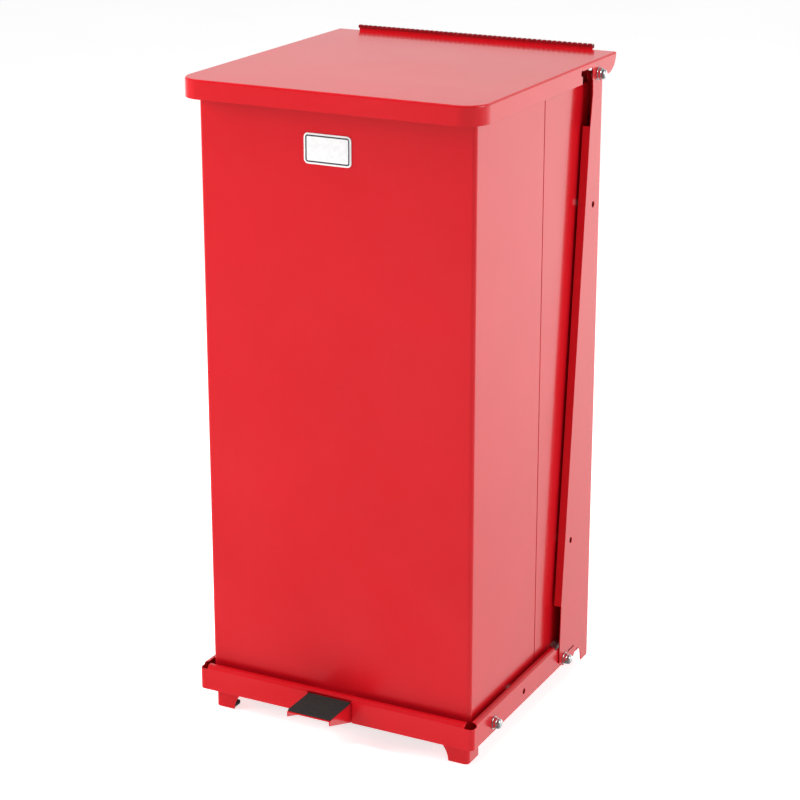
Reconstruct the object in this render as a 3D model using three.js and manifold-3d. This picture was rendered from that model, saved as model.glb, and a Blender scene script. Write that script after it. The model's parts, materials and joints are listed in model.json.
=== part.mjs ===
// Pedal-operated steel waste can: square sheet-steel body on a low base frame, a rear channel that carries
// the lid hinge, a pedal lever in the base, and two lift rods that raise the lid.
// Millimetres, +Z up, front of the can towards -Y, origin on the floor under the middle of the bounding box.
import * as THREE from 'three';
import { mergeVertices } from 'three/addons/utils/BufferGeometryUtils.js';
import Module from 'manifold-3d';

const wasm = await Module();
wasm.setup();

// ---------------------------------------------------------------- driving dimensions
const SHEET = 1.2; // sheet steel of the body, lid, frame and channel
const SEGMENTS = 24; // sides of a round piece
const CLOSE = 0.05; // clearance between pieces that touch

const LID = { width: 367.4, depth: 373.5, top: 762, skirt: 22, corner: 28, bend: 2.4 };
const PEDAL_REACH = 41.2; // how far the pedal stands out in front of the lid's front edge
const TRIM = { halfLength: 154.6, height: 6.6, thickness: 5.2, behindLid: 2.7 };
const FRONT = -(LID.depth + TRIM.behindLid - PEDAL_REACH) / 2; // the lid's front edge along Y
const y = (fromLidFront) => FRONT + fromLidFront;

const BODY = { half: 168.9, front: y(23.5), rear: y(331), top: 756, rearTop: 752, corner: 5, rim: 8 };
const SEAM = { y: y(201), overlap: 16, open: 1.6, joggle: 0.4 };
const HINGE_CUT = { front: y(271), rear: y(324), top: 733.5 }; // the body's sides are lower beside the lid hinge
const FLOOR_PAN = { top: 103, flange: 15, corner: 5, rodHole: 6.8 };

const FRAME = {
  half: 179.7, front: y(8.5), wallEnd: y(276), rear: y(333), bottom: 27.2, top: 58.2, corner: 6,
};
const RIM = { side: 6.6, front: 8, bend: 5, cornerCut: 11, sideEnd: y(242), roundEnd: 5 };
const LEDGE = { side: 17.7, front: 17, rear: 50 };
const WALL_END = { slope: 22, radius: 14, drop: 20 }; // the frame's side walls round down at the rear

const CHANNEL = {
  half: 181.7, rear: y(336.8), webBottom: 22, webTop: 744.5, lip: 9.5, lipBottom: 108, lipTop: 686,
};
const FLANGE = { topFront: y(303.8), slope: 0.0909, shoulder: 724, bottom: 10.6, lowFront: y(250) };
const PUNCHED = { radius: 3.8, upper: { y: y(318.5), z: 591.6 }, lower: { y: y(276), z: 186.1 } };
const FRAME_HOLE = { radius: 3.6, at: { y: y(148.8), z: 41.1 } };
const EAR_GAP = 0.8; // between the channel's flange and the lid's ear

const HINGE = { y: y(319.5), z: 745, bolt: 3 };
const PIVOT = { y: y(64.5), z: 38.7, bolt: 4 };
const ANCHOR = { y: y(264.5), z: 35.2, bolt: 4 };
const CAP_NUT = { across: 12.6, base: 5.2, length: 9.6 };

const PEDAL = {
  x: -3.8, half: 28, front: y(-PEDAL_REACH), rear: y(27),
  top: 51.8, tip: 6.5, bottom: 27.4, sheet: 1.6, pad: 1.6,
};
const PEDAL_OPENING = { half: 28.7, top: 55.3, bodyTop: 52.6 };
const ARM = { x: 157.5, thickness: 3, height: 13, front: y(30), rear: y(283), hub: 6, taper: 12 };
const LEVER_BAR = { thickness: 3, above: 6.5, below: 2.5, rear: y(240), radius: 5 };

// The lift pins stand ahead of the hinge and below it, so they rise nearly in step with the lid's angle.
const LIFT = { ahead: 45, below: 20, pin: 3 };
const ROD = { x: 159, y: HINGE.y - LIFT.ahead + 1, radius: 4, foot: 5, top: 712, rest: 0.5 };
const ROD_HEAD = { inner: 157, outer: 161, half: 12.5, top: 736, slot: 8.9, above: 1.8, below: 0.6 };
const GUIDE = { z: 640, half: 9, sheet: 2, drop: 16 };
const BUSH = { bore: 4.4, outer: 6.5, flange: 8.2, below: 3.5, above: 2 };
const BRACKET = { inner: 163.3, sheet: 2, half: 7, foot: 12, below: 5 };

const FOOT = {
  outer: 167, front: y(23.3), width: 25.5, depth: 28, sheet: 1.6,
  flare: 15, flareStart: 1, lift: 0.4, corner: 6,
};
const REAR_FOOT = { outer: 124, rear: y(318) };

const LINER = {
  half: 150, front: y(40), rear: y(310), bottom: FLOOR_PAN.top + 0.2, top: 733, corner: 18, roll: 4, rim: 5,
};
const GRIP = { front: y(150), rear: y(200), top: 38, bottom: 62, corner: 11 }; // hand holes in the liner
const EAR = { tipStart: y(350), notchFront: y(273), notchRear: y(303), notchTop: 7, relief: 3.6 };
const LABEL = { x: -7, half: 29, bottom: 677.5, height: 34, corner: 5, thickness: 0.9 };
const BUFFER = { x: 120, radius: 3.6 };

// ---------------------------------------------------------------- materials
const enamel = new THREE.MeshStandardMaterial({ color: 0xc8202c, roughness: 0.25, metalness: 0.0 });
const chrome = new THREE.MeshStandardMaterial({ color: 0xdcdcdc, roughness: 0.12, metalness: 1.0 });
const zinc = new THREE.MeshStandardMaterial({ color: 0xa9adb0, roughness: 0.45, metalness: 0.9 });
const galvanised = new THREE.MeshStandardMaterial({ color: 0xb4b8ba, roughness: 0.5, metalness: 0.85 });
const rubber = new THREE.MeshStandardMaterial({ color: 0x262626, roughness: 0.85, metalness: 0.0 });
const redVinyl = new THREE.MeshStandardMaterial({ color: 0x8c1218, roughness: 0.55, metalness: 0.0 });
const nylon = new THREE.MeshStandardMaterial({ color: 0xe6e2d6, roughness: 0.6, metalness: 0.0 });
const badge = new THREE.MeshStandardMaterial({ color: 0xe9e9e9, roughness: 0.4, metalness: 0.1 });

// ---------------------------------------------------------------- geometry helpers
const [alongX, alongY, alongZ] = [[1, 0, 0], [0, 1, 0], [0, 0, 1]].map((v) => new THREE.Vector3(...v));
const PLANES = {
  xy: new THREE.Matrix4(),
  yz: new THREE.Matrix4().makeBasis(alongY, alongZ, alongX),
  zx: new THREE.Matrix4().makeBasis(alongZ, alongX, alongY),
};

// A closed outline with any doubled points left out.
function outlineOf(points) {
  const all = points.map(([u, v]) => new THREE.Vector2(u, v));
  return all.filter((point, i) => point.distanceTo(all.at(i - 1)) > 0.01);
}

// A flat plate: an outline in one plane, extruded along the third axis from one place to another.
function prism(plane, points, from, to, holes = []) {
  const shape = new THREE.Shape(outlineOf(points));
  shape.holes = holes.map((hole) => new THREE.Path(outlineOf(hole)));
  const geometry = new THREE.ExtrudeGeometry(shape, { depth: to - from, bevelEnabled: false });
  return geometry.translate(0, 0, from).applyMatrix4(PLANES[plane]);
}

function arc(u, v, radius, start, end, steps = 6) {
  return Array.from({ length: steps + 1 }, (_, i) => {
    const angle = THREE.MathUtils.degToRad(start + ((end - start) * i) / steps);
    return [u + radius * Math.cos(angle), v + radius * Math.sin(angle)];
  });
}

const circle = (u, v, radius, sides = SEGMENTS) => arc(u, v, radius, 0, 360 - 360 / sides, sides - 1);

// A rectangle with its own radius at each corner, counted round from the low corner.
function rectangle(u0, v0, u1, v1, [a, b, c, d] = [0, 0, 0, 0], steps = 6) {
  return [
    ...arc(u0 + a, v0 + a, a, 180, 270, steps),
    ...arc(u1 - b, v0 + b, b, 270, 360, steps),
    ...arc(u1 - c, v1 - c, c, 0, 90, steps),
    ...arc(u0 + d, v1 - d, d, 90, 180, steps),
  ];
}

const box = (x0, x1, y0, y1, z0, z1) => prism('xy', rectangle(x0, y0, x1, y1), z0, z1);
const rodX = (radius, x0, x1, at, sides) => prism('yz', circle(at.y, at.z, radius, sides), x0, x1);
const rodZ = (radius, z0, z1, cx, cy) => prism('xy', circle(cx, cy, radius), z0, z1);

// A convex body through level outlines that have the same number of points.
function stack(levels) {
  const count = levels[0].points.length;
  const positions = levels.flatMap(({ points, z }) => points.flatMap(([u, v]) => [u, v, z]));
  const index = [];
  for (let level = 0; level + 1 < levels.length; level++) {
    for (let i = 0; i < count; i++) {
      const a = level * count + i;
      const b = level * count + ((i + 1) % count);
      index.push(a, b, b + count, a, b + count, a + count);
    }
  }
  const top = (levels.length - 1) * count;
  for (let i = 1; i + 1 < count; i++) index.push(0, i + 1, i, top, top + i, top + i + 1);
  const geometry = new THREE.BufferGeometry();
  geometry.setAttribute('position', new THREE.Float32BufferAttribute(positions, 3));
  geometry.setIndex(index);
  return geometry;
}

function solid(geometry) {
  const bare = geometry.clone();
  bare.deleteAttribute('normal');
  bare.deleteAttribute('uv');
  const merged = mergeVertices(bare, 1e-3);
  const vertProperties = merged.attributes.position.array;
  const triVerts = new Uint32Array(merged.index.array);
  return new wasm.Manifold(new wasm.Mesh({ numProp: 3, vertProperties, triVerts }));
}

function geometryOf(manifold) {
  const mesh = manifold.getMesh();
  const geometry = new THREE.BufferGeometry();
  geometry.setAttribute('position', new THREE.BufferAttribute(mesh.vertProperties, 3));
  geometry.setIndex(new THREE.BufferAttribute(mesh.triVerts, 1));
  return geometry;
}

// Geometries joined into one piece, then cut by others.
function piece(added, cuts = []) {
  let body = added.map(solid).reduce((a, b) => a.add(b));
  for (const cut of cuts) body = body.subtract(solid(cut));
  return geometryOf(body);
}

const can = new THREE.Group();

function add(name, geometry, material, side = 1) {
  const mesh = new THREE.Mesh(geometry, material);
  mesh.name = name;
  mesh.scale.x = side;
  can.add(mesh);
}

// A piece drawn for the right side, made again as a mirror image for the left.
function addPair(name, geometry, material) {
  add(`${name}_right`, geometry, material, 1);
  add(`${name}_left`, geometry, material, -1);
}

// A bolt's hole right across the can, out to a little beyond the given half width.
const boltHole = (at, half, extra = 0.3) => rodX(at.bolt + extra, -half - 1, half + 1, at);

// ---------------------------------------------------------------- base frame
// A band with an in-turned rim along its top and an in-turned ledge that the body stands on along its bottom.
function baseFrame() {
  const { half, front, rear, bottom, top, corner, wallEnd } = FRAME;
  const wallTop = top - RIM.bend;
  const inner = corner - SHEET;
  const room = rectangle(-half + SHEET, front + SHEET, half - SHEET, rear + 5, [inner, inner, 0, 0]);
  const clear = half - LEDGE.side;
  const { slope, radius, drop } = WALL_END;
  const roundedEnd = [
    [wallEnd + 1, wallTop + 1], [wallEnd - slope, wallTop + 1],
    ...arc(wallEnd - radius, wallTop - radius, radius, 90, 0), [wallEnd + 1, wallTop - drop],
  ];
  const band = piece(
    [prism('xy', rectangle(-half, front, half, rear, [corner, corner, 0, 0]), bottom, wallTop)],
    [
      prism('xy', room, bottom + SHEET, wallTop + 1),
      box(-half - 1, half + 1, wallEnd, rear + 1, bottom + SHEET, wallTop + 1),
      box(-clear, clear, front + LEDGE.front, rear - LEDGE.rear, bottom - 1, bottom + 2),
      prism('yz', roundedEnd, -half - 1, half + 1),
    ],
  );
  // The rim's section: a quarter bend off the wall, then flat inwards. u runs inwards from the outer face.
  const rimSection = (width) => [
    [0, wallTop],
    ...arc(RIM.bend, wallTop, RIM.bend, 180, 90),
    [width, top],
    [width, top - SHEET],
    ...arc(RIM.bend, wallTop, RIM.bend - SHEET, 90, 180),
  ];
  const sideStart = front + RIM.cornerCut;
  const sideRim = (side) => {
    const section = rimSection(RIM.side).map(([u, v]) => [v, side * (half - u)]);
    return prism('zx', section, sideStart, RIM.sideEnd);
  };
  const frontHalf = half - RIM.cornerCut;
  const frontRim = prism('yz', rimSection(RIM.front).map(([u, v]) => [front + u, v]), -frontHalf, frontHalf);
  const roundEnd = (side) => {
    const { sideEnd: end, roundEnd: r } = RIM;
    const edge = side * (half - RIM.side);
    const quarter = arc(edge + side * r, end - r, r, side > 0 ? 180 : 0, 90, 4);
    const inner = edge - side;
    const cut = [[inner, end + 1], [inner, end - r], ...quarter, [side * (half - SHEET), end + 1]];
    return prism('xy', cut, wallTop + 0.8, top + 1);
  };
  const [left, right] = [PEDAL.x - PEDAL_OPENING.half, PEDAL.x + PEDAL_OPENING.half];
  return piece(
    [band, sideRim(1), sideRim(-1), frontRim],
    [
      box(left, right, front - 1, front + LEDGE.front + 1, bottom - 1, PEDAL_OPENING.top),
      roundEnd(1), roundEnd(-1), boltHole(PIVOT, half), boltHole(ANCHOR, half),
      rodX(FRAME_HOLE.radius, -half - 1, half + 1, FRAME_HOLE.at, 12),
    ],
  );
}
add('base_frame', baseFrame(), enamel);

// ---------------------------------------------------------------- feet
// A corner leg of bent sheet: an outer side wall, a front wall that flares out upwards, and a top flange.
function foot() {
  const { outer, front, width, depth, sheet, flare, flareStart, lift, corner } = FOOT;
  const top = FRAME.bottom - CLOSE;
  const inner = outer - width;
  const steps = 8;
  const flareCurve = Array.from({ length: steps + 1 }, (_, i) => {
    const share = i / steps;
    return [inner - flare * share ** 2, flareStart + (top - flareStart) * share];
  });
  const wallShape = [[outer, lift], [outer, top], ...flareCurve.reverse(), [inner + 0.5, lift]];
  const back = front + depth;
  const turn = corner - sheet;
  const outside = rectangle(inner - flare, front, outer, back, [0, corner, 0, 0]);
  const inside = rectangle(inner - flare - 1, front + sheet, outer - sheet, back + 1, [0, turn, 0, 0]);
  const shell = piece([prism('xy', outside, lift, top)], [prism('xy', inside, 0, top - sheet)]);
  const profile = prism('zx', wallShape.map(([u, v]) => [v, u]), front - 1, back + 2);
  return geometryOf(solid(shell).intersect(solid(profile)));
}

// A rubber sole in the bottom of the leg.
function sole() {
  const { outer, front, width, depth, sheet, corner } = FOOT;
  const [play, height] = [0.1, 4];
  const edge = sheet + play;
  const corners = [0, corner - sheet, 2, 2];
  const outline = rectangle(outer - width + 2.6, front + edge, outer - edge, front + depth - 9, corners);
  return prism('xy', outline, 0, height);
}

addPair('foot_front', foot(), enamel);
addPair('foot_sole_front', sole(), rubber);
// The rear feet are the same pieces turned back to front and set further in.
function addRearPair(name, geometry, material) {
  for (const [side, label] of [[1, 'right'], [-1, 'left']]) {
    const mesh = new THREE.Mesh(geometry, material);
    mesh.name = `${name}_${label}`;
    mesh.scale.set(side, -1, 1);
    mesh.position.set(side * (REAR_FOOT.outer - FOOT.outer), FOOT.front + REAR_FOOT.rear, 0);
    can.add(mesh);
  }
}
addRearPair('foot_rear', foot(), enamel);
addRearPair('foot_sole_rear', sole(), rubber);

// ---------------------------------------------------------------- body
const bodyBottom = FRAME.bottom + SHEET + CLOSE;

function bodyFrontShell() {
  const { half, front, top, corner, rim } = BODY;
  const end = SEAM.y;
  const turn = corner - SHEET;
  const inside = rectangle(-half + SHEET, front + SHEET, half - SHEET, end + 5, [turn, turn, 0, 0]);
  const mouth = rectangle(-half + rim, front + rim, half - rim, end + 5);
  const [left, right] = [PEDAL.x - PEDAL_OPENING.half - 1, PEDAL.x + PEDAL_OPENING.half + 1];
  return piece(
    [prism('xy', rectangle(-half, front, half, end, [corner, corner, 0, 0]), bodyBottom, top)],
    [
      prism('xy', inside, bodyBottom - 1, top - SHEET),
      prism('xy', mouth, top - 5, top + 1),
      box(left, right, front - 1, front + 3, bodyBottom - 1, PEDAL_OPENING.bodyTop),
      boltHole(PIVOT, half),
    ],
  );
}
add('body_front_shell', bodyFrontShell(), enamel);

// The rear shell's front edges are joggled inwards and lie under the front shell's rear edges.
function bodyRearShell() {
  const { half, rear, top, rearTop, corner } = BODY;
  const start = SEAM.y + SEAM.open;
  const lapStart = SEAM.y - SEAM.overlap;
  const lapHalf = half - SHEET - SEAM.joggle;
  const turn = corner - SHEET;
  const outside = rectangle(-half, start, half, rear, [0, 0, corner, corner]);
  const inside = rectangle(-half + SHEET, start + 2, half - SHEET, rear - SHEET, [0, 0, turn, turn]);
  return piece(
    [
      prism('xy', outside, bodyBottom, top),
      box(-lapHalf, lapHalf, lapStart, start + 2, bodyBottom, top - SHEET - SEAM.joggle),
    ],
    [
      prism('xy', inside, bodyBottom - 1, top + 1),
      box(-lapHalf + SHEET, lapHalf - SHEET, lapStart - 1, start + 3, bodyBottom - 1, top + 1),
      box(-half - 1, half + 1, HINGE_CUT.front, HINGE_CUT.rear, HINGE_CUT.top, top + 1),
      box(-half - 1, half + 1, HINGE_CUT.rear - 1, rear + 1, rearTop, top + 1),
      boltHole(ANCHOR, half),
    ],
  );
}
add('body_rear_shell', bodyRearShell(), enamel);

// A raised floor inside the body: the pedal lever swings under it and the liner stands on it.
function bodyFloorPan() {
  const { top, flange, corner, rodHole } = FLOOR_PAN;
  const half = BODY.half - 2 * SHEET - 0.4;
  const [front, rear] = [BODY.front + SHEET + 0.1, BODY.rear - SHEET - 0.1];
  const bottom = top - flange;
  const corners = (radius) => Array(4).fill(radius);
  const inside = rectangle(-half + SHEET, front + SHEET, half - SHEET, rear - SHEET, corners(corner - SHEET));
  return piece(
    [prism('xy', rectangle(-half, front, half, rear, corners(corner)), bottom, top)],
    [
      prism('xy', inside, bottom - 1, top - SHEET),
      rodZ(rodHole, bottom, top + 1, ROD.x, ROD.y), rodZ(rodHole, bottom, top + 1, -ROD.x, ROD.y),
    ],
  );
}
add('body_floor_pan', bodyFloorPan(), galvanised);

// Blank name plate on the body's front.
function namePlate() {
  const { x, half, bottom, height, corner, thickness } = LABEL;
  const back = BODY.front - CLOSE;
  const outline = rectangle(bottom, x - half, bottom + height, x + half, Array(4).fill(corner));
  return prism('zx', outline, back - thickness, back);
}
add('name_plate', namePlate(), badge);

// ---------------------------------------------------------------- rear channel
// A full-height U whose web stands behind the body. Its flanges widen downwards and have in-turned lips.
function rearChannel() {
  const { half, rear, webBottom, webTop, lip, lipBottom, lipTop } = CHANNEL;
  const edge = (z) => FLANGE.topFront - (lipTop - z) * FLANGE.slope;
  const inset = SHEET / 2;
  const flange = [
    [rear, FLANGE.bottom], [rear, HINGE.z - 14],
    ...arc(HINGE.y, HINGE.z, 12, 20, 160, 8),
    [edge(FLANGE.shoulder) + 2.5, FLANGE.shoulder], [edge(lipTop) + inset, lipTop],
    [edge(lipBottom) + inset, lipBottom], [FLANGE.lowFront, 60], [FLANGE.lowFront, 34],
    ...arc(ANCHOR.y, ANCHOR.z, 9, 215, 290, 4),
    [y(288), 26.5],
    ...arc(y(304), 20, 12, 150, 20, 6),
    [y(318), FLANGE.bottom],
  ];
  const side = (s) => prism('yz', flange, s > 0 ? half - SHEET : -half, s > 0 ? half : -half + SHEET);
  const lipEdge = [
    [edge(lipBottom), lipBottom], [edge(lipBottom) + SHEET, lipBottom],
    [edge(lipTop) + SHEET, lipTop], [edge(lipTop), lipTop],
  ];
  const lipStrip = (s) => prism('yz', lipEdge, s > 0 ? half - lip : -half, s > 0 ? half : -half + lip);
  const slit = prism('yz', rectangle(y(276), 39.2, y(294), 41), -half - 1, half + 1);
  const hole = (at) => rodX(PUNCHED.radius, -half - 1, half + 1, at, 12);
  return piece(
    [side(1), side(-1), box(-half, half, rear - SHEET, rear, webBottom, webTop), lipStrip(1), lipStrip(-1)],
    [slit, hole(PUNCHED.upper), hole(PUNCHED.lower), boltHole(HINGE, half), boltHole(ANCHOR, half)],
  );
}
add('rear_channel', rearChannel(), enamel);

// ---------------------------------------------------------------- bolts, cap nuts, spacers and washers
// Domed cap nut: a hexagon that runs into a flattened dome, standing out along +X from the face at x0.
function capNut(at, x0) {
  const { across, base, length } = CAP_NUT;
  const hexRadius = across / Math.sqrt(3);
  const dome = across / 2 - 0.35;
  const domeStart = base + 1;
  const flatten = (length - domeStart) / dome;
  const crown = arc(0, 0, dome, 0, 84, 5).map(([r, h]) => [r, domeStart + h * flatten]);
  const profile = [[0, 0], [dome, 0], ...crown, [0, length]].map(([r, h]) => new THREE.Vector2(r, h));
  const lathe = new THREE.LatheGeometry(profile, SEGMENTS).rotateZ(-Math.PI / 2).translate(x0, at.y, at.z);
  const hexagon = prism('yz', arc(at.y, at.z, hexRadius, 30, 330, 5), x0, x0 + base);
  const washerDisc = rodX(hexRadius + 0.3, x0, x0 + 1.1, at);
  return piece([lathe, hexagon, washerDisc], [rodX(at.bolt + 0.25, x0 - 1, x0 + 4.5, at)]);
}

// Bolt with a low round head at x0, its shank running outwards to x1.
const roundBolt = (at, x0, x1, head) => piece([rodX(head, x0, x0 + 4, at), rodX(at.bolt, x0 + 3, x1, at)]);

function tube(at, outer, x0, x1) {
  return prism('yz', circle(at.y, at.z, outer), x0, x1, [circle(at.y, at.z, at.bolt + 0.2)]);
}

const earOuter = LID.width / 2;
const flangeInner = CHANNEL.half - SHEET;
const wallInner = FRAME.half - SHEET;
const sideInner = BODY.half - SHEET;

addPair('hinge_bolt', roundBolt(HINGE, flangeInner - 4.1, earOuter + 4.2, 6), zinc);
addPair('hinge_cap_nut', capNut(HINGE, earOuter + 0.15), chrome);
addPair('hinge_washer', tube(HINGE, 7, CHANNEL.half + CLOSE, CHANNEL.half + EAR_GAP - 0.1), nylon);

addPair('pivot_bolt', roundBolt(PIVOT, ARM.x - 7.4, FRAME.half + 4.3, 7), zinc);
addPair('pivot_cap_nut', capNut(PIVOT, FRAME.half + 0.1), chrome);
addPair('pivot_spacer', tube(PIVOT, 6, BODY.half + CLOSE, wallInner - CLOSE), zinc);
addPair('pivot_bush', tube(PIVOT, 5.8, ARM.x - 3.3, sideInner - CLOSE), nylon);

addPair('channel_bolt', roundBolt(ANCHOR, sideInner - 4.1, CHANNEL.half + 4.3, 5.8), zinc);
addPair('channel_cap_nut', capNut(ANCHOR, CHANNEL.half + 0.1), chrome);
addPair('channel_spacer', tube(ANCHOR, 5.8, BODY.half + CLOSE, wallInner - CLOSE), zinc);

// ---------------------------------------------------------------- pedal lever
// The arm's underside rises towards the front, so that it stays off the feet when the pedal is down.
function leverArm() {
  const half = ARM.height / 2;
  const bar = [
    [ARM.front, PIVOT.z - LEVER_BAR.below], [PIVOT.y - ARM.taper, PIVOT.z - half],
    ...arc(ARM.rear - half, PIVOT.z, half, -90, 90, 8),
    [ARM.front, PIVOT.z + half],
  ];
  const web = prism('yz', bar, ARM.x, ARM.x + ARM.thickness);
  return piece([web], [rodX(ARM.hub, ARM.x - 1, ARM.x + ARM.thickness + 1, PIVOT)]);
}
addPair('lever_arm', leverArm(), zinc);

// Cross bars between the arms: a flat one at the front that carries the pedal, and a round one at the rear.
const armInner = ARM.x - CLOSE;
const barRange = [PIVOT.z - LEVER_BAR.below, PIVOT.z + LEVER_BAR.above];
const frontBar = box(-armInner, armInner, ARM.front, ARM.front + LEVER_BAR.thickness, ...barRange);
add('lever_front_bar', frontBar, zinc);
add('lever_rear_bar', rodX(LEVER_BAR.radius, -armInner, armInner, { y: LEVER_BAR.rear, z: PIVOT.z }), zinc);

// The pedal: a flat tread with a side wall down each edge, deepening towards the frame.
function pedalPlate() {
  const { x, half, front, rear, top, tip, bottom, sheet } = PEDAL;
  const wall = [[front, top], [front, top - tip], [FRAME.front, bottom], [rear, bottom], [rear, top]];
  const side = (x0) => prism('yz', wall, x0, x0 + sheet);
  return piece([
    box(x - half, x + half, front, rear, top - sheet, top),
    side(x - half), side(x + half - sheet),
    box(x - half, x + half, rear - sheet, rear, bottom, top),
  ]);
}
add('pedal_plate', pedalPlate(), enamel);

function pedalBracket() {
  const half = 20;
  return box(PEDAL.x - half, PEDAL.x + half, PEDAL.rear + CLOSE, ARM.front - CLOSE, ...barRange);
}
add('pedal_bracket', pedalBracket(), zinc);

function pedalPad() {
  const { x, half, front, top, pad } = PEDAL;
  const [margin, corner] = [0.2, 1.5];
  const outline = rectangle(x - half + margin, front + 1.2, x + half - margin, y(9), Array(4).fill(corner));
  return prism('xy', outline, top + 0.02, top + pad);
}
add('pedal_pad', pedalPad(), rubber);

// ---------------------------------------------------------------- lift rods
const rodBottom = PIVOT.z + ARM.height / 2 + ROD.rest;

// A round rod with a wider foot that stands on the lever arm.
function liftRod() {
  const shank = rodZ(ROD.radius, rodBottom + 2, ROD.top, ROD.x, ROD.y);
  return piece([shank, rodZ(ROD.foot, rodBottom, rodBottom + 3, ROD.x, ROD.y)]);
}
addPair('lift_rod', liftRod(), zinc);

const pinHeight = HINGE.z - LIFT.below;

// The rod's flat head has a slot that lets the lid's pin travel back and forth.
function rodHead() {
  const { inner, outer, half, top, slot, above, below } = ROD_HEAD;
  const plate = rectangle(ROD.y - half, ROD.top + CLOSE, ROD.y + half, top, [3, 3, 5, 5]);
  const [low, high] = [pinHeight - LIFT.pin - below, pinHeight + LIFT.pin + above];
  const opening = rectangle(ROD.y - slot, low, ROD.y + slot, high, Array(4).fill(3.2));
  return prism('yz', plate, inner, outer, [opening]);
}
addPair('rod_head', rodHead(), zinc);

// An angle on the body's side that the rod runs through.
function rodGuide() {
  const { z, half, sheet, drop } = GUIDE;
  const [x0, x1] = [ROD.x - half, sideInner - 0.15];
  return piece(
    [
      box(x0, x1, ROD.y - half, ROD.y + half, z, z + sheet),
      box(x1 - sheet, x1, ROD.y - half, ROD.y + half, z - drop, z + sheet),
    ],
    [rodZ(ROD.radius + 0.5, z - 1, z + sheet + 1, ROD.x, ROD.y)],
  );
}
addPair('rod_guide', rodGuide(), zinc);

// A flanged bush in the raised floor.
function rodBush() {
  const { bore, outer, flange, below, above } = BUSH;
  const step = 0.1;
  const outline = [
    [bore, -below], [outer, -below], [outer, step], [flange, step],
    [flange, above], [bore, above], [bore, -below],
  ];
  const lathe = new THREE.LatheGeometry(outline.map(([r, h]) => new THREE.Vector2(r, h)), SEGMENTS);
  return lathe.rotateX(Math.PI / 2).translate(ROD.x, ROD.y, FLOOR_PAN.top);
}
addPair('rod_bush', rodBush(), nylon);

// ---------------------------------------------------------------- liner
function liner() {
  const { half, front, rear, bottom, top, corner, roll, rim } = LINER;
  const at = (inset) =>
    rectangle(-half + inset, front + inset, half - inset, rear - inset, Array(4).fill(corner - inset));
  const corners = Array(4).fill(GRIP.corner);
  const hole = rectangle(GRIP.front, top - GRIP.bottom, GRIP.rear, top - GRIP.top, corners);
  const grip = (side) => prism('yz', hole, side * half - 6, side * half + 6);
  return piece(
    [prism('xy', at(0), bottom, top), prism('xy', at(-roll), top - rim, top)],
    [prism('xy', at(SHEET), bottom + SHEET, top + 1), grip(1), grip(-1)],
  );
}
add('liner', liner(), galvanised);

// ---------------------------------------------------------------- lid
function lidShell() {
  const { width, depth, top, skirt, corner, bend } = LID;
  const half = width / 2;
  const low = top - skirt;
  const corners = (inset) => [corner - inset, corner - inset, 0, 0];
  const outline = (inset) => rectangle(-half + inset, y(inset), half - inset, y(depth), corners(inset), 8);
  const bendLevels = Array.from({ length: 5 }, (_, i) => {
    const angle = (i / 4) * (Math.PI / 2);
    return { points: outline(bend * (1 - Math.cos(angle))), z: top - bend + bend * Math.sin(angle) };
  });
  const outer = stack([{ points: outline(0), z: low }, ...bendLevels]);
  const inside = rectangle(-half + SHEET, y(SHEET), half - SHEET, y(depth + 5), corners(SHEET), 8);
  // Behind the hinge each side narrows to a curved tip.
  const tip = [
    [y(depth + 1), low - 1], [EAR.tipStart, low - 1], [EAR.tipStart, low],
    ...arc(EAR.tipStart, top + 1.5, skirt + 1.5, 270, 352, 8), [y(depth + 1), top - 1.6],
  ];
  const notch = rectangle(EAR.notchFront, low - 1, EAR.notchRear, top - EAR.notchTop, [0, 0, 3, 0]);
  const relief = { y: EAR.notchFront - 1, z: top - 9.6 };
  const upturnHalf = TRIM.halfLength - 0.6;
  const upturn = box(-upturnHalf, upturnHalf, y(depth - SHEET), y(depth), top - 1, top + TRIM.height - 1.4);
  return piece(
    [outer, upturn],
    [
      prism('xy', inside, low - 1, top - SHEET),
      prism('yz', tip, -half - 1, half + 1),
      prism('yz', notch, -half - 1, half + 1),
      rodX(EAR.relief, -half - 1, half + 1, relief, 16),
      boltHole(HINGE, half, 0.2),
    ],
  );
}
add('lid_shell', lidShell(), enamel);

// Vinyl edge trim pushed over the lid's upturned rear edge.
function lidRearTrim() {
  const { halfLength, height, thickness, behindLid } = TRIM;
  const [rear, top] = [y(LID.depth + behindLid), LID.top + height];
  const outline = rectangle(rear - thickness, LID.top + 0.1, rear, top, [0, 0, 2, 2], 3);
  const [grooveFront, grooveRear] = [y(LID.depth - SHEET) - 0.1, y(LID.depth) + 0.1];
  const groove = box(-halfLength - 1, halfLength + 1, grooveFront, grooveRear, LID.top - 1, top - 1.2);
  return piece([prism('yz', outline, -halfLength, halfLength)], [groove]);
}
add('lid_rear_trim', lidRearTrim(), redVinyl);

// Bracket under the lid that holds each lift pin.
const pin = { y: HINGE.y - LIFT.ahead, z: pinHeight };
function liftBracket() {
  const { inner, sheet, half, foot: length, below } = BRACKET;
  const under = LID.top - SHEET - CLOSE;
  const ear = rectangle(pin.y - half, pin.z - below, pin.y + half, under, [4, 4, 0, 0]);
  return piece(
    [
      prism('yz', ear, inner, inner + sheet),
      box(inner - length, inner + 1, pin.y - half, pin.y + half, under - sheet, under),
    ],
    [rodX(LIFT.pin + 0.1, inner - 1, inner + sheet + 1, pin)],
  );
}
addPair('lift_bracket', liftBracket(), zinc);
addPair('lift_pin', rodX(LIFT.pin, ROD_HEAD.inner - 2, BRACKET.inner + BRACKET.sheet + 0.1, pin), zinc);

// Rubber buffers that the closed lid rests on.
const bufferRange = [BODY.top + 0.2, LID.top - SHEET - CLOSE];
addPair('lid_buffer', rodZ(BUFFER.radius, ...bufferRange, BUFFER.x, BODY.front + BODY.rim / 2), rubber);

export default can;
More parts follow.
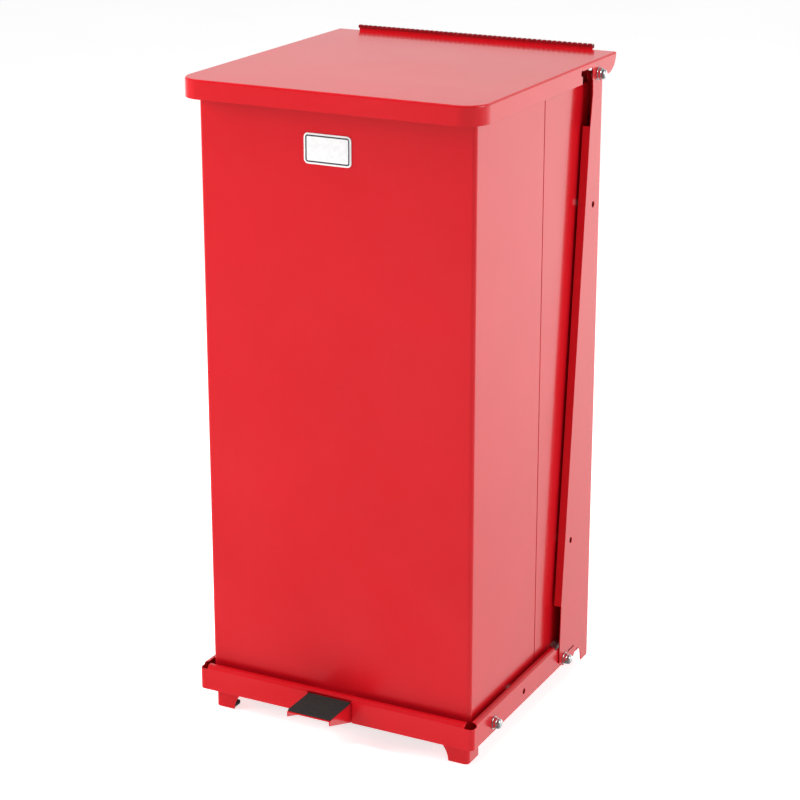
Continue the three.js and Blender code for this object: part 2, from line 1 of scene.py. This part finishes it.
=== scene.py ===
"""Looks of the pedal-operated steel waste can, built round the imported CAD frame.

Metres, +Z up, front towards -Y.
"""

import json
import math

import bmesh
import bpy
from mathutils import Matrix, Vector

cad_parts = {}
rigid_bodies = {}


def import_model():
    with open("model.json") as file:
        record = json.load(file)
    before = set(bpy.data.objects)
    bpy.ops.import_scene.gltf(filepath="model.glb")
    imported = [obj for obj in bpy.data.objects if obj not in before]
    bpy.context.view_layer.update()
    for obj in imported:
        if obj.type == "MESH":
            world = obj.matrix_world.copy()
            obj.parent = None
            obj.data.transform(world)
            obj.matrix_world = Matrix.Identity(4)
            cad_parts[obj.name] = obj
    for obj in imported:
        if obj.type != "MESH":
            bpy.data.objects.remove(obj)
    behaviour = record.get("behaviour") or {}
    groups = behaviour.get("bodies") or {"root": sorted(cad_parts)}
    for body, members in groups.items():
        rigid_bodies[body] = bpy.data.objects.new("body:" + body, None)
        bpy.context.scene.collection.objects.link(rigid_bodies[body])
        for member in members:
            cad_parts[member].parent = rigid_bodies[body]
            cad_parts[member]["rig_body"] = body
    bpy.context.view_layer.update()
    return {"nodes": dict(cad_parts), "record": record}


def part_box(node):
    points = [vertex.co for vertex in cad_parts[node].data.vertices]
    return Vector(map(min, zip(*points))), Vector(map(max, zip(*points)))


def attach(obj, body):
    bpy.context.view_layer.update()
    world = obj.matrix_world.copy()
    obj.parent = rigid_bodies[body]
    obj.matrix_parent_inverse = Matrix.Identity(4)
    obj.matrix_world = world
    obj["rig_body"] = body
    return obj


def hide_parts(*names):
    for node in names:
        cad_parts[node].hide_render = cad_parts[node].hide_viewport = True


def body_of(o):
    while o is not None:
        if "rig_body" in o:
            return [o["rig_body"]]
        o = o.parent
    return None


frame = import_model()
MM = 0.001

# ---------------------------------------------------------------- driving values
CAMERA = {"azimuth": 27.1, "elevation": 17.53, "distance": 2.59, "lens": 100.0, "shift": -0.06}
AIM = Vector((0.0035, 0.006, 0.4264))

BEVEL = {"sheet": 0.3 * MM, "pressed": 0.7 * MM, "turned": 0.35 * MM}
PRESSED = ("pedal_plate", "foot_front_right", "foot_front_left", "foot_rear_right", "foot_rear_left")
TURNED = ("bolt", "spacer", "bush", "washer", "lift_rod", "lift_pin", "lid_buffer", "lever_rear_bar")
WELD_DISTANCE = 0.002 * MM
DOUBLE_DISTANCE = 0.001 * MM
FLAT_ANGLE = math.radians(0.4)  # faces that meet at less than this count as one flat
EDGE_ANGLE = math.radians(28)  # CAD edges sharper than this are rounded
CREASE_ANGLE = math.radians(32)  # edges of a lofted piece sharper than this stay crisp
FACE_WEIGHT = 80

NUT = {
    "bore": 4.25 * MM, "bore_share": 0.68, "bore_depth": 4.4 * MM,  # the share is of half the flats' width
    "washer": 1.1 * MM, "ease": 0.2 * MM, "inset": 0.3 * MM,  # thickness, soft edge, hexagon inside the rim
    "base": 5.2 * MM, "chamfer": 1.1 * MM, "chamfer_rise": 0.27 * MM, "chamfer_inset": 0.33 * MM,
    "neck": 0.15 * MM, "straight": 0.9 * MM, "dome_inset": 0.15 * MM, "fullness": 0.6,
}
NUT_STEPS = {"around": 72, "chamfer": 4, "dome": 12}
CLOSED = 0.01 * MM  # a radius or step too small to be seen

TRIM = {
    "front_leg": 3.6 * MM, "groove_front": 4.0 * MM, "groove_rear": 2.6 * MM, "roof": 1.2 * MM,
    "foot": 1.2 * MM, "shoulder": 1.0 * MM, "ease": 0.3 * MM,
    "pitch": 6.5 * MM, "notch": 1.1 * MM, "narrowing": 0.7,  # each side draws in by this share of the notch
}
NOTCH_SPAN = (0.6, 0.64, 0.96)  # shares of the pitch: the tooth ends, the notch is full, the notch ends

TREAD = {"ease": 0.45 * MM, "corner": 1.8 * MM, "turns": (0.4, 0.8, 1.2, math.pi / 2)}

# Distances in from the outline, but for groove, field_edge and field_drop, which are depths below the face.
PLATE = {
    "corner": 5 * MM, "least_corner": 0.6 * MM, "edge": 0.25 * MM, "edge_turn": 0.08 * MM,
    "rim": 1.9 * MM, "line": 3.5 * MM, "slope": 0.1 * MM, "groove": 0.12 * MM,
    "field": 4.2 * MM, "field_edge": 0.03 * MM, "field_drop": 0.02 * MM,
}

BUCKET = {
    "bead": 2.5 * MM, "overhang": 4 * MM, "corner": 18 * MM, "sheet": 1.2 * MM, "foot": 5 * MM,
    "neck": 1.3, "inner_neck": 1.2, "bead_centre": 0.55,  # in bead radii: below, below, outside the wall
    "bead_start": -0.25, "bead_turn": 1.55,  # in half turns
}
BUCKET_STEPS = {"foot": 4, "bead": 12, "corner": 8}
HAND_HOLE = {"half": 25 * MM, "top": 38 * MM, "bottom": 62 * MM, "corner": 11 * MM, "past_wall": 10 * MM}

FLOOR = {"half": 15.0, "glow": 0.68}
ROOM_BRIGHTNESS = 1.55
# How bright the room is by direction: stops of (part of the direction along Y or Z, brightness).
DEPTH_STOPS = [(-0.9, 0.16), (-0.1, 0.24), (0.35, 0.5), (0.8, 1.0)]
HEIGHT_STOPS = [(-0.46, 0.56), (-0.2, 1.0), (0.02, 0.7), (0.17, 0.42), (0.9, 0.45)]
# Metres and watts.
SOFT_BOXES = {
    "key": {"place": (-1.7, -1.05, 1.3), "size": 1.2, "power": 41, "glossy": False},
    "side": {"place": (2.4, 0.1, 1.5), "size": 1.4, "power": 22, "glossy": True},
    "above": {"place": (0.0, -0.2, 2.4), "size": 1.4, "power": 26, "glossy": False},
}

SLOT_OF = {part["node"]: part["material_slot"] for part in frame["record"]["subparts"]}


def srgb(red, green, blue):
    """A screen colour, each part 0 to 255, as the linear colour that shaders use."""
    parts = [channel / 255 for channel in (red, green, blue)]
    linear = [p / 12.92 if p <= 0.04045 else ((p + 0.055) / 1.055) ** 2.4 for p in parts]
    return (*linear, 1.0)


# ---------------------------------------------------------------- materials
class Finish:
    """A Principled material whose colour, roughness and relief follow patterns in the piece's own space."""

    # Nearly all of a noise's values lie between these two.
    NOISE_LOW = 0.3
    NOISE_HIGH = 0.7

    def __init__(self, name, **sockets):
        self.material = bpy.data.materials.new(name)
        self.material.use_nodes = True
        self.tree = self.material.node_tree
        self.shader = self.tree.nodes["Principled BSDF"]
        self.place = self.tree.nodes.new("ShaderNodeTexCoord").outputs["Object"]
        for socket, value in sockets.items():
            self.shader.inputs[socket.replace("_", " ")].default_value = value

    def noise(self, size, detail=2.0, stretch=(1, 1, 1)):
        """Soft noise with features of about the given size, stretched by a factor along each axis.

        More detail adds finer noise on top.
        """
        mapping = self.tree.nodes.new("ShaderNodeMapping")
        mapping.inputs["Scale"].default_value = [1 / s for s in stretch]
        self.tree.links.new(self.place, mapping.inputs["Vector"])
        texture = self.tree.nodes.new("ShaderNodeTexNoise")
        texture.inputs["Scale"].default_value = 1 / size
        texture.inputs["Detail"].default_value = detail
        self.tree.links.new(mapping.outputs["Vector"], texture.inputs["Vector"])
        return texture.outputs["Fac"]

    def cells(self, size):
        """Angular patches of the given size, each with a brightness of its own, as zinc crystals have."""
        texture = self.tree.nodes.new("ShaderNodeTexVoronoi")
        texture.inputs["Scale"].default_value = 1 / size
        self.tree.links.new(self.place, texture.inputs["Vector"])
        split = self.tree.nodes.new("ShaderNodeSeparateColor")
        self.tree.links.new(texture.outputs["Color"], split.inputs["Color"])
        return split.outputs["Red"]

    def ramp(self, pattern, low, high, start=NOISE_LOW, end=NOISE_HIGH):
        """Turns a pattern's values from start to end into colours from low to high."""
        ramp = self.tree.nodes.new("ShaderNodeValToRGB")
        for element, position, colour in zip(ramp.color_ramp.elements, (start, end), (low, high)):
            element.position = position
            element.color = colour
        self.tree.links.new(pattern, ramp.inputs["Fac"])
        return ramp.outputs["Color"]

    def colour(self, pattern, dark, light, **span):
        """Lets a pattern mix the base colour from two."""
        self.tree.links.new(self.ramp(pattern, dark, light, **span), self.shader.inputs["Base Color"])
        return self

    def roughness(self, pattern, low, high):
        """Lets a pattern vary the roughness from low to high."""
        spread = self.tree.nodes.new("ShaderNodeMapRange")
        spread.inputs["From Min"].default_value = self.NOISE_LOW
        spread.inputs["From Max"].default_value = self.NOISE_HIGH
        spread.inputs["To Min"].default_value = low
        spread.inputs["To Max"].default_value = high
        self.tree.links.new(pattern, spread.inputs["Value"])
        self.tree.links.new(spread.outputs["Result"], self.shader.inputs["Roughness"])
        return self

    def relief(self, *layers):
        """Adds bumps. Each layer is a pattern and its height in metres."""
        under = None
        for pattern, height in layers:
            bump = self.tree.nodes.new("ShaderNodeBump")
            bump.inputs["Distance"].default_value = height
            self.tree.links.new(pattern, bump.inputs["Height"])
            if under:
                self.tree.links.new(under, bump.inputs["Normal"])
            under = bump.outputs["Normal"]
        self.tree.links.new(under, self.shader.inputs["Normal"])
        return self


def red_enamel():
    """Glossy baked enamel on sheet that isn't perfectly flat: orange peel and a slow wave."""
    finish = Finish("red_enamel", IOR=1.5, Coat_Weight=0.35, Coat_Roughness=0.06, Coat_IOR=1.45)
    finish.colour(finish.noise(0.16, 3), srgb(205, 14, 26), srgb(211, 18, 31))
    finish.roughness(finish.noise(0.09, 2), 0.19, 0.23)
    return finish.relief((finish.noise(0.3, 1), 0.25 * MM), (finish.noise(2.6 * MM, 1), 0.0015 * MM)).material


def chrome():
    """Polished plating with slight unevenness."""
    finish = Finish("chrome", Metallic=1.0)
    finish.colour(finish.noise(4 * MM, 3), srgb(214, 214, 216), srgb(236, 236, 238))
    finish.roughness(finish.noise(3 * MM, 3), 0.06, 0.14)
    return finish.relief((finish.noise(1.5 * MM), 0.006 * MM)).material


def zinc_plate():
    """Bright zinc plate: bluish grey with a faint drawn grain."""
    finish = Finish("zinc_plate", Metallic=1.0)
    finish.colour(finish.noise(18 * MM, 4), srgb(150, 153, 156), srgb(186, 187, 184))
    finish.roughness(finish.noise(6 * MM, 5), 0.3, 0.48)
    grain = finish.noise(1.2 * MM, 2, stretch=(1, 8, 8))
    return finish.relief((grain, 0.02 * MM)).material


def galvanised():
    """Hot-dipped zinc, with crystals about a centimetre across."""
    finish = Finish("galvanised", Metallic=0.9)
    crystals = finish.cells(11 * MM)
    finish.colour(crystals, srgb(146, 150, 153), srgb(196, 199, 200), start=0.0, end=1.0)
    finish.roughness(crystals, 0.3, 0.5)
    return finish.relief((crystals, 0.01 * MM), (finish.noise(5 * MM, 3), 0.03 * MM)).material


def black_rubber():
    """Matt moulded rubber with a fine grain."""
    finish = Finish("black_rubber", IOR=1.5, Specular_IOR_Level=0.35)
    finish.colour(finish.noise(3 * MM, 5), srgb(38, 44, 44), srgb(50, 57, 56))
    finish.roughness(finish.noise(2 * MM, 3), 0.72, 0.9)
    return finish.relief((finish.noise(0.9 * MM, 3), 0.12 * MM)).material


def red_vinyl():
    """Satin dark red vinyl."""
    finish = Finish("red_vinyl", IOR=1.5, Specular_IOR_Level=0.4)
    finish.colour(finish.noise(7 * MM, 3), srgb(122, 8, 16), srgb(146, 12, 22))
    finish.roughness(finish.noise(3 * MM, 3), 0.42, 0.55)
    return finish.relief((finish.noise(1.1 * MM, 2), 0.04 * MM)).material


def nylon():
    """Natural nylon, a little translucent."""
    finish = Finish("nylon", IOR=1.53, Subsurface_Weight=0.15, Subsurface_Scale=1.5 * MM)
    finish.colour(finish.noise(5 * MM, 2), srgb(222, 218, 204), srgb(234, 231, 219))
    finish.roughness(finish.noise(2 * MM, 2), 0.45, 0.6)
    return finish.relief((finish.noise(0.8 * MM, 2), 0.02 * MM)).material


def plate_white():
    """The name plate's white lacquer."""
    finish = Finish("plate_white", IOR=1.5)
    finish.colour(finish.noise(6 * MM, 3), srgb(232, 233, 233), srgb(243, 243, 243))
    finish.roughness(finish.noise(2 * MM, 2), 0.25, 0.36)
    return finish.relief((finish.noise(0.6 * MM, 2), 0.01 * MM)).material


def plate_dark():
    """The dark line let into the name plate."""
    finish = Finish("plate_dark", IOR=1.5)
    finish.colour(finish.noise(4 * MM, 3), srgb(58, 60, 61), srgb(70, 72, 73))
    finish.roughness(finish.noise(2 * MM, 2), 0.4, 0.5)
    return finish.relief((finish.noise(0.6 * MM, 2), 0.02 * MM)).material


FINISHES = {
    "red_enamel": red_enamel(),
    "chrome": chrome(),
    "zinc_plate": zinc_plate(),
    "galvanised": galvanised(),
    "black_rubber": black_rubber(),
    "red_vinyl": red_vinyl(),
    "nylon": nylon(),
    "badge": plate_white(),
}


# ---------------------------------------------------------------- CAD nodes that keep their shape
def bevel_for(name):
    """How wide a node's edges are rounded: pressed, turned or plain cut sheet."""
    if name in PRESSED:
        return BEVEL["pressed"]
    if any(word in name for word in TURNED):
        return BEVEL["turned"]
    return BEVEL["sheet"]


def dress(name, node):
    """Gives a CAD node its finish, smooth bends and slightly rounded edges."""
    node.data.materials.clear()
    node.data.materials.append(FINISHES[SLOT_OF[name]])
    if "custom_normal" in node.data.attributes:
        node.data.attributes.remove(node.data.attributes["custom_normal"])
    node.data.polygons.foreach_set("use_smooth", [True] * len(node.data.polygons))
    weld = node.modifiers.new("weld", "WELD")
    weld.merge_threshold = WELD_DISTANCE
    flats = node.modifiers.new("flats", "DECIMATE")
    flats.decimate_type = "DISSOLVE"
    flats.angle_limit = FLAT_ANGLE
    edges = node.modifiers.new("edges", "BEVEL")
    edges.width = bevel_for(name)
    edges.segments = 2
    edges.limit_method = "ANGLE"
    edges.angle_limit = EDGE_ANGLE
    edges.use_clamp_overlap = False
    edges.miter_outer = "MITER_ARC"
    shading = node.modifiers.new("shading", "WEIGHTED_NORMAL")
    shading.mode = "FACE_AREA"
    shading.weight = FACE_WEIGHT


for node_name, cad_node in frame["nodes"].items():
    dress(node_name, cad_node)


# ---------------------------------------------------------------- mesh helpers
def loft(name, rings, materials, bands=None):
    """A closed skin through rings that have the same number of points.

    bands gives the index of each stretch's material, where there is more than one.
    """
    bands = bands or [0] * (len(rings) - 1)
    count = len(rings[0])
    points = [point for ring in rings for point in ring]
    faces = []
    paints = []
    for level, band in enumerate(bands):
        for k in range(count):
            a = level * count + k
            b = level * count + (k + 1) % count
            faces.append((a, b, b + count, a + count))
            paints.append(band)
    faces.append(tuple(reversed(range(count))))
    paints.append(bands[0])
    faces.append(tuple(range((len(rings) - 1) * count, len(rings) * count)))
    paints.append(bands[-1])
    mesh = bpy.data.meshes.new(name)
    mesh.from_pydata(points, [], faces)
    for material in materials:
        mesh.materials.append(material)
    mesh.polygons.foreach_set("material_index", paints)
    mesh.polygons.foreach_set("use_smooth", [True] * len(faces))
    tidy_normals(mesh)
    mesh.set_sharp_from_angle(angle=CREASE_ANGLE)
    piece = bpy.data.objects.new(name, mesh)
    bpy.context.scene.collection.objects.link(piece)
    return piece


def tidy_normals(mesh):
    """Merges doubled points and turns every face outwards."""
    work = bmesh.new()
    work.from_mesh(mesh)
    bmesh.ops.remove_doubles(work, verts=work.verts, dist=DOUBLE_DISTANCE)
    bmesh.ops.recalc_face_normals(work, faces=work.faces)
    work.to_mesh(mesh)
    work.free()


def stand_for(piece, node):
    """The piece takes over a CAD node's place and body; the node is hidden."""
    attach(piece, body_of(frame["nodes"][node])[0])
    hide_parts(node)
    return piece


def rounded(u0, v0, u1, v1, radius, steps=10):
    """A rectangle with rounded corners as a list of points, counter-clockwise."""
    centres = [
        (u0 + radius, v0 + radius), (u1 - radius, v0 + radius),
        (u1 - radius, v1 - radius), (u0 + radius, v1 - radius),
    ]
    points = []
    for corner, (cu, cv) in enumerate(centres):
        for k in range(steps + 1):
            angle = math.pi * (1 + corner / 2 + k / steps / 2)
            points.append((cu + radius * math.cos(angle), cv + radius * math.sin(angle)))
    return points


# ---------------------------------------------------------------- cap nuts
def cap_nut(node):
    """A chamfered hexagon with a washer face and a polished dome, standing out from the can's side."""
    low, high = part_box(node)
    side = 1 if low.x > 0 else -1
    face = low.x if side > 0 else high.x
    at = (low + high) / 2
    length = high.x - low.x
    washer = (high.z - low.z) / 2
    corner = washer - NUT["inset"]
    flat = corner * math.sqrt(3) / 2
    bore = min(NUT["bore"], flat * NUT["bore_share"])
    chamfer = NUT["base"] - NUT["chamfer"]
    dome = flat - NUT["dome_inset"]
    spring = NUT["base"] + NUT["straight"]
    # Each row: distance from the face, radius, and whether the hexagon limits it.
    rows = [
        (NUT["bore_depth"], CLOSED, False), (NUT["bore_depth"], bore, False),
        (0, bore, False), (0, washer - NUT["ease"], False),
        (NUT["ease"], washer, False), (NUT["washer"] - NUT["ease"], washer, False),
        (NUT["washer"], washer - NUT["ease"], False),
        (NUT["washer"] + CLOSED, corner, True), (chamfer, corner, True),
    ]
    for k in range(1, NUT_STEPS["chamfer"] + 1):
        rows.append((chamfer + k * NUT["chamfer_rise"], corner - k * NUT["chamfer_inset"], True))
    rows.append((NUT["base"] + NUT["neck"], dome, False))
    rows.append((spring, dome, False))
    for k in range(1, NUT_STEPS["dome"] + 1):
        angle = k / NUT_STEPS["dome"] * math.pi / 2
        height = spring + (length - spring) * math.sin(angle)
        rows.append((height, max(dome * math.cos(angle) ** NUT["fullness"], CLOSED), False))
    count = NUT_STEPS["around"]
    sixth = math.pi / 3
    rings = []
    for out, radius, hexed in rows:
        ring = []
        for k in range(count):
            angle = 2 * math.pi * k / count
            reach = radius
            if hexed:
                reach = min(radius, flat / math.cos((angle + sixth / 2) % sixth - sixth / 2))
            ring.append((face + side * out, at.y + reach * math.cos(angle), at.z + reach * math.sin(angle)))
        rings.append(ring)
    return stand_for(loft("nut_" + node, rings, [FINISHES["chrome"]]), node)


for place in ("hinge", "pivot", "channel"):
    for hand in ("right", "left"):
        cap_nut(f"{place}_cap_nut_{hand}")


# ---------------------------------------------------------------- lid trim
def lid_trim():
    """Push-on edge trim: a folded vinyl strip, cut across every few millimetres along its crest."""
    low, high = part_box("lid_rear_trim")
    front, rear, top = low.y, high.y, high.z
    leg = top - TRIM["front_leg"]
    groove_front = rear - TRIM["groove_front"]
    groove_rear = rear - TRIM["groove_rear"]
    roof = top - TRIM["roof"]
    foot = low.z + TRIM["foot"]
    shoulder, ease = TRIM["shoulder"], TRIM["ease"]

    def section(x, sink):
        """The strip's outline across the lid, its crest lowered by sink."""
        edge = sink * TRIM["narrowing"]
        crest = top - sink
        outline = [
            (front, leg), (front + edge / 2, top - shoulder - edge),
            (front + ease + edge, crest - ease), (front + shoulder + edge, crest),
            (rear - shoulder - edge, crest), (rear - ease - edge, crest - ease),
            (rear - edge / 2, top - shoulder - edge), (rear, foot),
            (groove_rear, foot), (groove_rear, roof), (groove_front, roof), (groove_front, leg),
        ]
        return [(x, y, z) for y, z in outline]

    teeth = round((high.x - low.x) / TRIM["pitch"])
    pitch = (high.x - low.x) / teeth
    tooth_end, notch_start, notch_end = NOTCH_SPAN
    notch = TRIM["notch"]
    rings = []
    for tooth in range(teeth):
        start = low.x + tooth * pitch
        for share, sink in ((0.0, 0.0), (tooth_end, 0.0), (notch_start, notch), (notch_end, notch)):
            rings.append(section(start + share * pitch, sink))
    rings.append(section(high.x, 0.0))
    return stand_for(loft("lid_edge_trim", rings, [FINISHES["red_vinyl"]]), "lid_rear_trim")


lid_trim()


# ---------------------------------------------------------------- pedal pad
def pedal_tread():
    """A thin moulded rubber sheet with rounded corners and a softened edge."""
    low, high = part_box("pedal_pad")
    ease, corner = TREAD["ease"], TREAD["corner"]
    levels = [(0.0, low.z), (0.0, high.z - ease)]
    for angle in TREAD["turns"]:
        levels.append((ease * (1 - math.cos(angle)), high.z - ease + ease * math.sin(angle)))
    rings = []
    for inset, z in levels:
        outline = rounded(low.x + inset, low.y + inset, high.x - inset, high.y - inset, corner - inset)
        rings.append([(x, y, z) for x, y in outline])
    return stand_for(loft("pedal_tread", rings, [FINISHES["black_rubber"]]), "pedal_pad")


pedal_tread()


# ---------------------------------------------------------------- name plate
def blank_plate():
    """A blank plate: a white rim, a dark line let in, and a plain field."""
    low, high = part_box("name_plate")
    back, face = high.y, low.y
    edge, turn = PLATE["edge"], PLATE["edge_turn"]
    rim, line, slope, groove = PLATE["rim"], PLATE["line"], PLATE["slope"], PLATE["groove"]
    # Each step: how far in from the outline, and where along Y.
    steps = [
        (0.0, back), (0.0, face + edge), (turn, face + turn), (edge, face),
        (rim, face), (rim + slope, face + groove), (line, face + groove),
        (line + slope, face + PLATE["field_edge"]), (PLATE["field"], face + PLATE["field_drop"]),
    ]
    white, dark = 0, 1
    bands = [white, white, white, white, dark, dark, dark, white]
    rings = []
    for inset, y in steps:
        corner = max(PLATE["corner"] - inset, PLATE["least_corner"])
        outline = rounded(low.x + inset, low.z + inset, high.x - inset, high.z - inset, corner)
        rings.append([(x, y, z) for x, z in outline])
    plate = loft("blank_name_plate", rings, [FINISHES["badge"], plate_dark()], bands)
    return stand_for(plate, "name_plate")


blank_plate()


# ---------------------------------------------------------------- liner
def bucket():
    """The lift-out liner: thin walls, rounded bottom edge, rolled wire bead, a hand hole in each side."""
    low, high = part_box("liner")
    bead, overhang = BUCKET["bead"], BUCKET["overhang"]
    x0, y0, x1, y1 = low.x + overhang, low.y + overhang, high.x - overhang, high.y - overhang
    sheet, foot = BUCKET["sheet"], BUCKET["foot"]
    foot_steps, bead_steps = BUCKET_STEPS["foot"], BUCKET_STEPS["bead"]
    # Each level: how far in from the outer wall, and how high. Up outside, round the bead, down inside.
    levels = []
    for k in range(foot_steps + 1):
        angle = k / foot_steps * math.pi / 2
        levels.append((foot * (1 - math.sin(angle)), low.z + foot * (1 - math.cos(angle))))
    centre = high.z - bead
    levels.append((0.0, centre - bead * BUCKET["neck"]))
    for k in range(bead_steps + 1):
        angle = math.pi * (BUCKET["bead_start"] + k / bead_steps * BUCKET["bead_turn"])
        out = bead * BUCKET["bead_centre"] + bead * math.cos(angle)
        levels.append((-out, centre + bead * math.sin(angle)))
    levels.append((sheet, centre - bead * BUCKET["inner_neck"]))
    for k in range(foot_steps + 1):
        angle = (1 - k / foot_steps) * math.pi / 2
        inset = foot - (foot - sheet) * math.sin(angle)
        levels.append((inset, low.z + foot - (foot - sheet) * math.cos(angle)))
    rings = []
    for inset, z in levels:
        corner = BUCKET["corner"] - inset
        outline = rounded(x0 + inset, y0 + inset, x1 - inset, y1 - inset, corner, BUCKET_STEPS["corner"])
        rings.append([(x, y, z) for x, y in outline])
    piece = loft("liner_bucket", rings, [FINISHES["galvanised"]])
    cut_hand_holes(piece, low, high)
    return stand_for(piece, "liner")


def cut_hand_holes(piece, low, high):
    """One long rounded hole through both side walls."""
    middle = (low.y + high.y) / 2
    half, past = HAND_HOLE["half"], HAND_HOLE["past_wall"]
    bottom, top = high.z - HAND_HOLE["bottom"], high.z - HAND_HOLE["top"]
    outline = rounded(middle - half, bottom, middle + half, top, HAND_HOLE["corner"])
    rings = [[(x, y, z) for y, z in outline] for x in (low.x - past, high.x + past)]
    cutter = loft("cutter", rings, [FINISHES["galvanised"]])
    cut = piece.modifiers.new("hand holes", "BOOLEAN")
    cut.operation = "DIFFERENCE"
    cut.object = cutter
    evaluated = piece.evaluated_get(bpy.context.evaluated_depsgraph_get())
    mesh = bpy.data.meshes.new_from_object(evaluated)
    piece.modifiers.clear()
    piece.data = mesh
    bpy.data.objects.remove(cutter)


bucket()


# ---------------------------------------------------------------- studio
def studio_floor():
    """A wide pale floor that glows a little, so that it comes out nearly white."""
    half = FLOOR["half"]
    corners = [(-half, -half, 0), (half, -half, 0), (half, half, 0), (-half, half, 0)]
    mesh = bpy.data.meshes.new("floor")
    mesh.from_pydata(corners, [], [(0, 1, 2, 3)])
    floor = bpy.data.objects.new("floor", mesh)
    finish = Finish("pale_floor", Roughness=0.9, Specular_IOR_Level=0.1)
    finish.colour(finish.noise(0.4, 2), srgb(246, 246, 246), srgb(250, 250, 250))
    finish.shader.inputs["Emission Color"].default_value = (1, 1, 1, 1)
    finish.shader.inputs["Emission Strength"].default_value = FLOOR["glow"]
    mesh.materials.append(finish.material)
    bpy.context.scene.collection.objects.link(floor)
    floor.visible_glossy = False


def brightness_by(tree, part, stops):
    """Brightness as a smooth function of one part of the direction, from stops of (part, brightness)."""
    spread = tree.nodes.new("ShaderNodeMapRange")
    spread.inputs["From Min"].default_value = -1
    tree.links.new(part, spread.inputs["Value"])
    ramp = tree.nodes.new("ShaderNodeValToRGB")
    ramp.color_ramp.interpolation = "EASE"
    elements = ramp.color_ramp.elements
    while len(elements) < len(stops):
        elements.new(0.5)
    for element, (position, brightness) in zip(elements, stops):
        element.position = (position + 1) / 2
        element.color = (brightness, brightness, brightness, 1)
    tree.links.new(spread.outputs["Result"], ramp.inputs["Fac"])
    return ramp.outputs["Color"]


def surroundings():
    """A studio room: bright behind the can, darker on the near side, evenly pale where it is seen."""
    world = bpy.data.worlds.new("studio")
    world.use_nodes = True
    bpy.context.scene.world = world
    tree = world.node_tree
    direction = tree.nodes.new("ShaderNodeTexCoord").outputs["Generated"]
    split = tree.nodes.new("ShaderNodeSeparateXYZ")
    tree.links.new(direction, split.inputs["Vector"])
    depth = brightness_by(tree, split.outputs["Y"], DEPTH_STOPS)
    height = brightness_by(tree, split.outputs["Z"], HEIGHT_STOPS)
    product = tree.nodes.new("ShaderNodeMix")
    product.data_type = "RGBA"
    product.blend_type = "MULTIPLY"
    product.inputs["Factor"].default_value = 1.0
    tree.links.new(depth, product.inputs["A"])
    tree.links.new(height, product.inputs["B"])

    lighting = tree.nodes["Background"]
    tree.links.new(product.outputs["Result"], lighting.inputs["Color"])
    lighting.inputs["Strength"].default_value = ROOM_BRIGHTNESS
    seen = tree.nodes.new("ShaderNodeBackground")
    choice = tree.nodes.new("ShaderNodeMixShader")
    ray = tree.nodes.new("ShaderNodeLightPath")
    tree.links.new(ray.outputs["Is Camera Ray"], choice.inputs["Fac"])
    tree.links.new(lighting.outputs["Background"], choice.inputs[1])
    tree.links.new(seen.outputs["Background"], choice.inputs[2])
    tree.links.new(choice.outputs["Shader"], tree.nodes["World Output"].inputs["Surface"])


def soft_box(name, place, size, power, glossy):
    """A square light aimed at the can; glossy says whether shiny surfaces mirror it."""
    data = bpy.data.lights.new(name, "AREA")
    data.shape = "SQUARE"
    data.size = size
    data.energy = power
    light = bpy.data.objects.new(name, data)
    bpy.context.scene.collection.objects.link(light)
    light.location = place
    light.rotation_euler = (AIM - Vector(place)).to_track_quat("-Z", "Y").to_euler()
    light.visible_glossy = glossy


def camera():
    """The photo's view: from the front, turned to the can's right side, looking down a little."""
    azimuth = math.radians(CAMERA["azimuth"])
    elevation = math.radians(CAMERA["elevation"])
    level = math.cos(elevation)
    back = Vector((math.sin(azimuth) * level, -math.cos(azimuth) * level, math.sin(elevation)))
    data = bpy.data.cameras.new("camera")
    data.lens = CAMERA["lens"]
    data.shift_y = CAMERA["shift"]
    shot = bpy.data.objects.new("camera", data)
    bpy.context.scene.collection.objects.link(shot)
    shot.location = AIM + back * CAMERA["distance"]
    shot.rotation_euler = back.to_track_quat("Z", "Y").to_euler()
    bpy.context.scene.camera = shot


studio_floor()
surroundings()
for light_name, settings in SOFT_BOXES.items():
    soft_box(light_name, **settings)
camera()
bpy.context.scene.view_settings.view_transform = "Standard"
